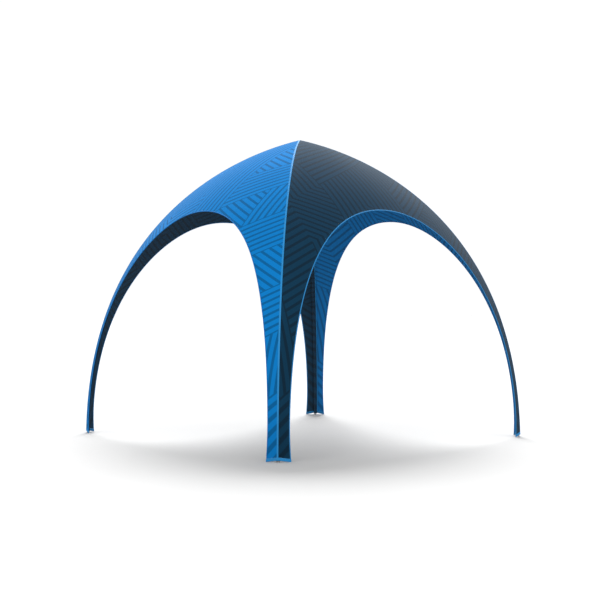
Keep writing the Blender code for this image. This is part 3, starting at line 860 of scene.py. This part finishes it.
# %% Stitches on the ridge tapes
TAPE_ROWS = (0.0035, 0.0130)     # from the ridge to each row of stitches
tape_stitches = []
row_t = np.linspace(T_FOOT + 0.002, T_TAPE_END - 0.014, 260)
for turn, leg in enumerate(LEGS):
    rows = []
    for distance in TAPE_ROWS:
        lifts = np.array([TAPE_TOP]), np.array([TAPE_TOP + 0.01])
        path, above = (beside_ridge(row_t, np.array([distance]), lift)[:, 0] for lift in lifts)
        normals = unit(above - path)
        rows.append((mirrored_leg(path), mirrored_leg(normals)) if turn % 2 else (path, normals))
    made, count = stitch_piece(f"{leg}_tape_stitches", rows, TAPE_THREAD, turn)
    tape_stitches.append(made)
print("stitches on one tape:", count)

# %% [markdown]
# ## Hems round the feet
# Each foot ends in a light blue band folded round the V of the leg. A flat strip thickened by a
# Solidify modifier would look cut off below, where a real hem is folded. So its profile is drawn as
# an upright strip with a rounded fold at the bottom, and carried from one free corner round the
# ridge to the other. It touches the ground only at those two corners, as the cut of the leg asks.

# %% Foot hems
HEM_PROUD = 0.0026         # from the cloth's outer face to the band's
HEM_INSIDE = 0.0048        # from the cloth's outer face in to the band's inner face
HEM_FOLD = 0.0035          # height of the rounded fold
HEM_CORNER = 0.0008        # bevel of the band's upper edges
HEM_STITCH_HEIGHT = 0.027
DIAGONAL = np.array([1.0, -1.0, 0.0]) / math.sqrt(2)    # outwards along the front right leg's plane


def hem_profile():
    """Points (height, outwards) round the band: half an ellipse at the bottom, nearly square on top."""
    angle = np.linspace(math.pi, 2 * math.pi, 9)
    half = (HEM_PROUD + HEM_INSIDE) / 2
    middle = (HEM_PROUD - HEM_INSIDE) / 2
    fold = np.stack([HEM_FOLD * (1 + np.sin(angle)), middle + half * np.cos(angle)], axis=-1)
    top = [
        (HEM_HEIGHT - HEM_CORNER, HEM_PROUD), (HEM_HEIGHT, HEM_PROUD - HEM_CORNER),
        (HEM_HEIGHT, HEM_CORNER - HEM_INSIDE), (HEM_HEIGHT - HEM_CORNER, -HEM_INSIDE),
    ]
    return np.concatenate([fold, top])


def hem_rings():
    """Ring by ring across the front side of the leg, one ring at the ridge, and back up the other
    side as a mirror image."""
    profile = hem_profile()
    height = profile[:, 0]
    corner = arch(arch_angle_at_height(height))[0]
    share = np.linspace(0, 1, 13)[:, None]
    u = corner + (half_side_at(height + RIDGE_LIFT) - corner) * share
    z = hem_bottom(u) + height
    normal = front_normal(u, z)
    normal[..., 2] = 0.0
    half = on_front(u, z) + profile[:, 1:] * unit(normal)
    point, _, _, half_angle, _, _ = ridge_frame(t_at_height(height + RIDGE_LIFT))
    half[-1] = point + profile[:, 1:] * DIAGONAL / np.sin(half_angle)[:, None]
    return np.concatenate([half, mirrored_leg(half[:-1])[::-1]])


def hem_stitch_row():
    """Path and normals just under the hem's upper edge, across the front side of the leg."""
    corner = float(arch(arch_angle_at_height(np.array(HEM_STITCH_HEIGHT)))[0])
    u = np.linspace(corner + 0.004, HALF_SIDE - 0.005, 30)
    z = hem_bottom(u) + HEM_STITCH_HEIGHT
    normal = front_normal(u, z)
    return on_front(u, z) + HEM_PROUD * normal, normal


hems, hem_stitches = [], []
path, normals = hem_stitch_row()
rows = [(path, normals), (mirrored_leg(path), mirrored_leg(normals))]
for turn, leg in enumerate(LEGS):
    # The band's inner side is marked, so its tape is darkened there as painted shade.
    hems.append(carried_piece(
        f"{leg}_hem_band", turned(hem_rings(), turn), LIGHT_TAPE, [f"{leg}_foot_hem"],
        inner_face=hem_profile()[:, 1] < 0,
    ))
    made, count = stitch_piece(f"{leg}_hem_stitches", rows, TAPE_THREAD, turn)
    hem_stitches.append(made)
print("stitches on one hem:", count)

# %% [markdown]
# ## Sleeves, air beams and foot pads
# What holds the cloth up is a slim air beam in the fold of each leg, in a navy sleeve sewn to both
# panels. The sleeve could be shrink-wrapped on the beam, but worked out in the ridge's axes it keeps
# clear of beam and panels by the same hair's breadth all the way up. Its two halves meet in a seam
# at the innermost line. A half's profile follows the beam from that seam, then leaves it in a
# straight line for the panel. A light blue tape covers the sleeve's seam on the blue panel, so from
# inside a leg reads as half navy, half blue.

# %% Sleeves
PAD_HEIGHT = 0.014
SLEEVE = 0.0012            # thickness of the sleeve's cloth
SLEEVE_LEAVES = math.radians(75)
PANEL_DEPTH = 0.006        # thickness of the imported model's panels, which sets where the beams lie
BEAM_RADIUS = 0.018
BEAMS_STOP = 0.11          # from the upright axis to the beams' upper ends
T_BEAM_END = float(t_at_half_side(BEAMS_STOP / math.sqrt(2)))
BEAM_T = np.linspace(float(t_at_height(PAD_HEIGHT)), T_BEAM_END, 150)


def beam_depth(half_angle):
    """From the ridge line in to the beam's centre, where it just clears both panels."""
    return (PANEL_DEPTH + FIT + BEAM_RADIUS) / np.sin(half_angle)


def sleeve_profile(t, radius):
    """Inward and sideways places of one face of a sleeve half: an arc of 75 degrees round the beam,
    then a straight leaf to the panel's inner face."""
    half_angle = ridge_frame(t)[3][:, None]
    angles = np.linspace(0, SLEEVE_LEAVES, 12)
    inward = beam_depth(half_angle) + radius * np.cos(angles)
    lateral = 0 * half_angle + radius * np.sin(angles)
    cot = 1 / np.tan(half_angle)
    face = (CLOTH_THICKNESS + FIT) / np.sin(half_angle)
    drop, spread = math.sin(SLEEVE_LEAVES), math.cos(SLEEVE_LEAVES)
    reach = (inward[:, -1:] - lateral[:, -1:] * cot - face) / (drop + spread * cot)
    share = np.linspace(0, 1, 5)[1:]
    inward = np.concatenate([inward, inward[:, -1:] - reach * share * drop], axis=1)
    lateral = np.concatenate([lateral, lateral[:, -1:] + reach * share * spread], axis=1)
    lateral[:, 0] = FIT / 2
    return inward, lateral


def sleeve_face(radius, side):
    """One face of a sleeve half, up the whole beam and to this side of it, from just above the pad."""
    inward, lateral = sleeve_profile(BEAM_T, radius)
    points = section(BEAM_T, inward, side * lateral)
    points[0, :, 2] = PAD_HEIGHT + FIT
    return points


def sleeve_seams(points):
    """Seam map of a sleeve half: metres up the leg and metres from the middle seam."""
    along = run_along(points[:, 0])
    away = run_along(points[len(points) // 2])
    return np.stack(np.meshgrid(along, away, indexing="ij"), axis=-1)


sleeves = [[] for _ in FACES]
for side, offset in ((-1, 0), (1, 1)):
    outer_face = sleeve_face(BEAM_RADIUS + FIT + SLEEVE, side)
    inner_face = sleeve_face(BEAM_RADIUS + FIT, side)
    rings = np.concatenate([outer_face, inner_face[:, ::-1]], axis=1)
    for turn, leg in enumerate(LEGS):
        face = (turn + offset) % 4
        navy_face = turn if turn % 2 else (turn + 1) % 4
        local_u = outer_face[..., 0 if navy_face == turn else 1]
        maps = {
            "print": there_and_back(print_map(local_u, outer_face[..., 2], navy_face)),
            "seam": there_and_back(sleeve_seams(outer_face)),
        }
        node = f"{leg}_sleeve_{FACES[face]}_half"
        name = f"{node}_finished"
        # A sleeve is marked inner side all over, so it takes the inner side's painted shade and painted
        # sheen.
        mesh = ring_mesh(name, turned(rings, turn), maps, np.ones(rings.shape[1]))
        sleeves[face].append(finish_piece(name, mesh, FACE_CLOTH[navy_face], [node]))
print("sleeve halves:", sum(len(made) for made in sleeves))

# %% Tape over the sleeve's seam on the blue panel
SEAM_TAPE = 0.0008         # its thickness
SEAM_TAPE_WIDTH = 0.012


def seam_tape_rings():
    """A flat strip on the front panel's inner face, from where the sleeve meets it."""
    t = np.linspace(T_FOOT, T_BEAM_END, 150)
    half_angle = ridge_frame(t)[3][:, None]
    start = sleeve_profile(t, BEAM_RADIUS + FIT + SLEEVE)[1][:, -1:] / np.sin(half_angle)
    distance = start + FIT + SEAM_TAPE_WIDTH * np.array([0.0, 0.04, 0.35, 0.65, 0.96, 1.0])
    low = -CLOTH_THICKNESS - TAPE_GAP - SEAM_TAPE * np.array([0.5, 1.0, 1.0, 1.0, 1.0, 0.5])
    made = np.concatenate([
        beside_ridge(t, distance, low),
        beside_ridge(t, distance[:, ::-1], 0 * low - CLOTH_THICKNESS - TAPE_GAP),
    ], axis=1)
    made[0, :, 2] = HEM_HEIGHT + RIDGE_LIFT + FIT
    return made


seam_tapes = []
for turn, leg in enumerate(LEGS):
    rings = mirrored_leg(seam_tape_rings()) if turn % 2 else seam_tape_rings()
    seam_tapes.append(carried_piece(
        f"{leg}_inner_seam_tape", turned(rings, turn), LIGHT_TAPE,
    ))
print("seam tape", round(1000 * SEAM_TAPE_WIDTH), "mm wide")

# %% [markdown]
# ## Rubbery finishes
# The beams are coated cloth welded into tubes, dark and slightly shiny. Pads and valves are moulded,
# with a fine grain from the mould, the pads in grey rubber and the valves in black plastic. A
# picture of rubber would need a flat map on every part; noise needs none. A fine one makes the bump,
# and a broad, weak one the colour, so that no two places are quite alike.

# %% Beam and moulding finishes
def moulded(name, colour, roughness, grain, grain_depth):
    """Broad noise in the colour and a fine grain in the bump."""
    made, tree, shader = new_finish(name, roughness)
    clouded(tree, shader, colour, scale=18.0, detail=3.0, swing=0.5, level=0.75)
    speckle = add_node(tree, "ShaderNodeTexNoise", object_place(tree), None, grain, 2.0)
    raise_surface(tree, shader, speckle, grain_depth)
    return made


BEAM_SKIN = moulded("coated_beam_skin", (0.030, 0.032, 0.035), 0.42, 260.0, 0.0002)
RUBBER = moulded("grey_rubber", (0.30, 0.30, 0.305), 0.75, 700.0, 0.00025)
VALVE_PLASTIC = moulded("valve_plastic", (0.013, 0.013, 0.015), 0.38, 500.0, 0.0001)
print("mouldings:", BEAM_SKIN.name, RUBBER.name, VALVE_PLASTIC.name)

# %% Beams and pads
# Height and share of the pad's outline, from its underside to its top
PAD_STEPS = np.array([
    (0.0, 0.90), (0.0012, 0.97), (0.0035, 1.0), (0.0110, 1.0), (0.0135, 0.98), (PAD_HEIGHT, 0.94),
])


def round_beam(t, radius, angles):
    """Rows of points round the beam's centre line; angle 0 points away from the ridge."""
    depth = beam_depth(ridge_frame(t)[3])[:, None]
    return section(t, depth + radius * np.cos(angles), 0 * depth + radius * np.sin(angles))


beam_rings = round_beam(BEAM_T, BEAM_RADIUS, np.linspace(0, 2 * math.pi, 32, endpoint=False))
beam_rings[0, :, 2] = PAD_HEIGHT + FIT
outline = beam_rings[0]
pad_rings = outline.mean(axis=0) + (outline - outline.mean(axis=0)) * PAD_STEPS[:, 1, None, None]
pad_rings[..., 2] = PAD_STEPS[:, 0, None]
for turn, leg in enumerate(LEGS):
    rings = turned(beam_rings, turn)
    carried_piece(f"{leg}_beam_skin", rings, BEAM_SKIN, [f"{leg}_air_beam"])
    rings = turned(pad_rings, turn)
    carried_piece(f"{leg}_rubber_pad", rings, RUBBER, [f"{leg}_foot_pad"])
print("beam end at", [round(float(value), 3) for value in beam_rings[-1].mean(axis=0)])

# %% [markdown]
# ## Hub and valves
# The beams meet at a moulded hub under the peak, with a relief valve below it. The inflation valve
# sits on a patch on the inner side of one leg, at knee height. Turned parts are a profile of radius
# and height spun round an axis; ribs for the fingers are a ripple added to the radius. The hub isn't
# round, so its outline is worked out instead.

# %% Crown hub
HUB_ABOVE = 0.008
HUB_BELOW = 0.024
HUB_CORNER = math.radians(16)
HUB_SIDES = 8
HUB_SHARPNESS = 26         # the higher, the sharper its upright corners
# Height over the underside and share of the reach at that height, with a groove at half height
HUB_STEPS = np.array([
    (0.0, 0.93), (0.0012, 0.97), (0.0035, 1.0), (0.0150, 1.0), (0.0156, 0.985), (0.0166, 0.985),
    (0.0172, 1.0), (0.0285, 1.0), (0.0308, 0.97), (HUB_ABOVE + HUB_BELOW, 0.93),
])
top_t = np.array([T_BEAM_END])
beam_end = round_beam(top_t, 0.0, np.zeros(1))[0, 0]
beam_lean = ridge_frame(top_t)[2][0]
lean = math.atan2(beam_lean @ DIAGONAL, beam_lean[2])
hub_reach = beam_end @ DIAGONAL - FIT / math.cos(lean)


def hub_rings():
    """A rounded eight-sided block, widest flats facing the beams: for each direction, one over the
    power mean of cos(angle to a flat) / distance of that flat, over all eight."""
    angle = np.linspace(0, 2 * math.pi, 96, endpoint=False)
    reach = hub_reach + (HUB_STEPS[:, 0] - HUB_BELOW) * math.tan(lean)
    flats = np.arange(HUB_SIDES) * 2 * math.pi / HUB_SIDES
    short = math.cos(math.pi / 4 - HUB_CORNER) / math.cos(HUB_CORNER)
    share = np.where(np.arange(HUB_SIDES) % 2, 1.0, short)
    facing = np.maximum(np.cos(angle[:, None] - flats), 0) / share
    radius = 1 / (facing**HUB_SHARPNESS).sum(axis=1) ** (1 / HUB_SHARPNESS)
    scale = (reach * HUB_STEPS[:, 1])[:, None] * radius
    z = np.broadcast_to((beam_end[2] - HUB_BELOW + HUB_STEPS[:, 0])[:, None], scale.shape)
    return np.stack([scale * np.cos(angle), scale * np.sin(angle), z], axis=-1)


carried_piece("crown_hub_moulding", hub_rings(), BEAM_SKIN, ["crown_hub"], sharp=35)
print("hub reaches", round(1000 * hub_reach), "mm towards each beam")

# %% Relief valve
# Radius, height and 1 where ribbed, from the seat over the rim and down into the middle
RELIEF_PROFILE = (
    (0.0188, 0.0, 0), (0.0198, 0.0008, 0), (0.0198, 0.0040, 0), (0.0190, 0.0048, 0),
    (0.0172, 0.0050, 0), (0.0170, 0.0056, 1), (0.0166, 0.0116, 1), (0.0160, 0.0128, 0),
    (0.0146, 0.0138, 0), (0.0118, 0.0138, 0), (0.0112, 0.0120, 0), (0.0048, 0.0120, 0),
    (0.0044, 0.0132, 0), (0.0020, 0.0136, 0),
)


def spin(place, axis, profile, ribs, rib_depth):
    """Rings round an axis, for each (radius, height, ribbed) of the profile. A ribbed radius is
    rippled by 1 + rib_depth * cos(ribs * angle)."""
    axis = unit(np.asarray(axis, float))
    helper = np.array([0.0, 0.0, 1.0]) if abs(axis[2]) < 0.9 else np.array([1.0, 0.0, 0.0])
    side = unit(np.cross(axis, helper))
    other = np.cross(axis, side)
    angle = np.linspace(0, 2 * math.pi, 96, endpoint=False)
    outwards = np.cos(angle)[:, None] * side + np.sin(angle)[:, None] * other
    radius, height, ribbed = (np.asarray(profile, float)[:, k, None] for k in range(3))
    scale = radius * (1 + ribbed * rib_depth * np.cos(ribs * angle))
    return np.asarray(place) + scale[..., None] * outwards + height[..., None] * axis


def valve_part(name, rings, node):
    """A turned part in the valves' plastic, with crisp edges."""
    carried_piece(name, rings, VALVE_PLASTIC, [node], sharp=35)


hub_base = np.array([0.0, 0.0, beam_end[2] - HUB_BELOW - FIT])
valve_part("relief_valve_moulding", spin(hub_base, (0, 0, -1), RELIEF_PROFILE, 24, 0.035), "relief_valve")
print("relief valve", round(2000 * max(step[0] for step in RELIEF_PROFILE)), "mm across")

# %% Valve patch
VALVE_HEIGHT = 0.55
PATCH_REACH, PATCH_WRAP = 0.03, math.radians(55)     # half its height, half its turn round the sleeve
PATCH_THICKNESS = 0.0012
PATCH_POWER = 5            # of the superellipse that rounds its corners
PATCH_ROWS, PATCH_COLUMNS = 25, 13
VALVE_LEG_FACE = 1         # the navy face beside the valve's leg


def valve_patch_rings():
    """A patch with rounded corners that hugs the sleeve: rows up the leg, each as wide as the
    superellipse (1 - |share|^5)^(1/5) allows, stopping just short of the tips."""
    middle = t_at_height(VALVE_HEIGHT)
    share = np.sin(np.linspace(-QUARTER, QUARTER, PATCH_ROWS)) * 0.9999
    t = middle + share * (t_at_height(VALVE_HEIGHT + PATCH_REACH) - middle)
    wide = PATCH_WRAP * (1 - np.abs(share) ** PATCH_POWER) ** (1 / PATCH_POWER)
    angles = wide[:, None] * np.linspace(-1, 1, PATCH_COLUMNS)
    low = BEAM_RADIUS + FIT + SLEEVE + TAPE_GAP
    depth = beam_depth(ridge_frame(t)[3])[:, None]
    faces = [
        section(t, depth + radius * np.cos(angles), radius * np.sin(angles))
        for radius in (low + PATCH_THICKNESS, low)
    ]
    return np.concatenate([faces[0], faces[1][:, ::-1]], axis=1)


patch = valve_patch_rings()
closed = np.concatenate([patch, patch[:, :1]], axis=1)
flat = print_map(closed[..., 0], closed[..., 2], VALVE_LEG_FACE)
far_from_seams = np.full(flat.shape, 0.5)
mesh = ring_mesh("valve_patch_cloth", patch, {"print": flat, "seam": far_from_seams})
finish_piece("valve_patch_cloth", mesh, FACE_CLOTH[VALVE_LEG_FACE], ["valve_patch"])
print("valve patch", round(2000 * PATCH_REACH), "mm high")

# %% Inflation valve
# Radius, height and 1 where ribbed, from the patch outwards; the cap's heights count from its seat
BODY_PROFILE = (
    (0.0150, 0.0, 0), (0.0156, 0.0006, 0), (0.0154, 0.0014, 0), (0.0134, 0.0020, 0),
    (0.0124, 0.0030, 0), (0.0120, 0.0052, 0), (0.0128, 0.0060, 1), (0.0128, 0.0112, 1),
    (0.0122, 0.0120, 0), (0.0104, 0.0122, 0),
)
CAP_SEAT = 0.0125
CAP_PROFILE = (
    (0.0096, 0.0, 0), (0.0100, 0.0006, 1), (0.0100, 0.0062, 1), (0.0094, 0.0074, 0),
    (0.0080, 0.0082, 0), (0.0046, 0.0088, 0), (0.0020, 0.0090, 0),
)
BEND_FULL, BEND_GONE = 0.0012, 0.0060     # heights between which the base's bend fades out
inwards = -ridge_frame(np.array([t_at_height(VALVE_HEIGHT)]))[2][0]
seat = patch[PATCH_ROWS // 2, PATCH_COLUMNS // 2] + FIT * inwards


def saddled(rings):
    """A turned part whose base is bent over the round patch: each point sinks by
    R - sqrt(R^2 - s^2), s sideways from the middle, and the bend fades out with height."""
    from_seat = rings - seat
    sideways = np.abs(from_seat @ LATERAL)
    above = from_seat @ inwards
    over = BEAM_RADIUS + FIT + SLEEVE + TAPE_GAP + PATCH_THICKNESS + FIT
    fade = np.clip((BEND_GONE - above) / (BEND_GONE - BEND_FULL), 0, 1)
    sink = (over - np.sqrt(over**2 - sideways**2)) * fade
    return rings - sink[..., None] * inwards


rings = saddled(spin(seat, inwards, BODY_PROFILE, 32, 0.03))
valve_part("inflation_valve_body", rings, "inflation_valve")
rings = spin(seat + CAP_SEAT * inwards, inwards, CAP_PROFILE, 20, 0.045)
valve_part("inflation_valve_screw_cap", rings, "inflation_valve_cap")
print("valve stands", round(1000 * (CAP_SEAT + CAP_PROFILE[-1][1])), "mm proud of its patch")

# %% [markdown]
# ## Floor, light and camera
# The tent stands on a plain pale floor under an even white sky. A soft light from above and behind
# lays its shadow towards the camera, and a weak, very wide one from the front lifts the legs. Suns
# serve for both, because their light has the same strength and direction everywhere. The camera
# stands at eye height and looks level.

# %% Floor
FLOOR_REACH = 90.0
FLOOR_DROP = 0.0005        # below the feet, so that no faces coincide
corners = [(x * FLOOR_REACH, y * FLOOR_REACH, 0.0) for x, y in ((-1, -1), (1, -1), (1, 1), (-1, 1))]
floor_mesh = bpy.data.meshes.new("pale_floor")
floor_mesh.from_pydata(corners, [], [(0, 1, 2, 3)])
floor = bpy.data.objects.new("pale_floor", floor_mesh)
floor.location.z = -FLOOR_DROP
bpy.context.scene.collection.objects.link(floor)
floor_finish, tree, shader = new_finish("pale_floor", roughness=0.9, specular=0.1)
clouded(tree, shader, (1.0, 1.0, 1.0), scale=0.6, detail=3.0, swing=0.02, level=0.42)
floor_mesh.materials.append(floor_finish)
print("floor", round(2 * FLOOR_REACH), "m across")

# %% Light
SKY_STRENGTH = 1.03
UP = np.array([0.0, 0.0, 1.0])
AWAY_FROM_CAMERA = np.array([-0.7635, 0.6458, 0.0])
world = bpy.data.worlds.new("white_sky")
bpy.context.scene.world = world
world.use_nodes = True
world.node_tree.nodes["Background"].inputs["Color"].default_value = (1.0, 1.0, 1.0, 1.0)
world.node_tree.nodes["Background"].inputs["Strength"].default_value = SKY_STRENGTH


def soft_sun(name, strength, angle, direction):
    """A distant light, this strong and this wide, that shines from a direction. Its disc is so wide
    that its shadows have no hard edge."""
    lamp = bpy.data.lights.new(name, "SUN")
    lamp.energy = strength
    lamp.angle = math.radians(angle)
    made = bpy.data.objects.new(name, lamp)
    bpy.context.scene.collection.objects.link(made)
    made.rotation_mode = "QUATERNION"
    made.rotation_quaternion = Vector(direction).to_track_quat("Z", "Y")
    print(name, "is", angle, "degrees wide")


soft_sun("overhead_softbox", 5.6, 31, UP + 0.98 * AWAY_FROM_CAMERA)
soft_sun("front_fill", 1.5, 110, 0.40 * UP - AWAY_FROM_CAMERA)

# %% Camera
CAMERA_PLACE = (12.165, -10.290, 1.743)
CAMERA_AZIMUTH = 0.8687
camera_data = bpy.data.cameras.new("camera")
camera_data.sensor_width = 36.0
camera_data.lens = 73.58
camera_data.clip_end = 400.0
camera = bpy.data.objects.new("camera", camera_data)
camera.location = CAMERA_PLACE
camera.rotation_euler = (math.pi / 2, 0.0, CAMERA_AZIMUTH)
bpy.context.scene.collection.objects.link(camera)
bpy.context.scene.camera = camera
bpy.context.scene.view_settings.view_transform = "Standard"
print("camera", round(math.hypot(*CAMERA_PLACE[:2]), 1), "m from the middle of the tent")

# %% [markdown]
# Each panel is gathered with everything that is sewn to it.

# %% Pieces sewn to each panel
for turn, face in enumerate(FACES):
    sewn_on = [bindings[turn], arch_stitches[turn], tapes[turn], tape_stitches[turn]]
    sewn_on += [hems[turn], hem_stitches[turn], seam_tapes[turn], *sleeves[turn]]
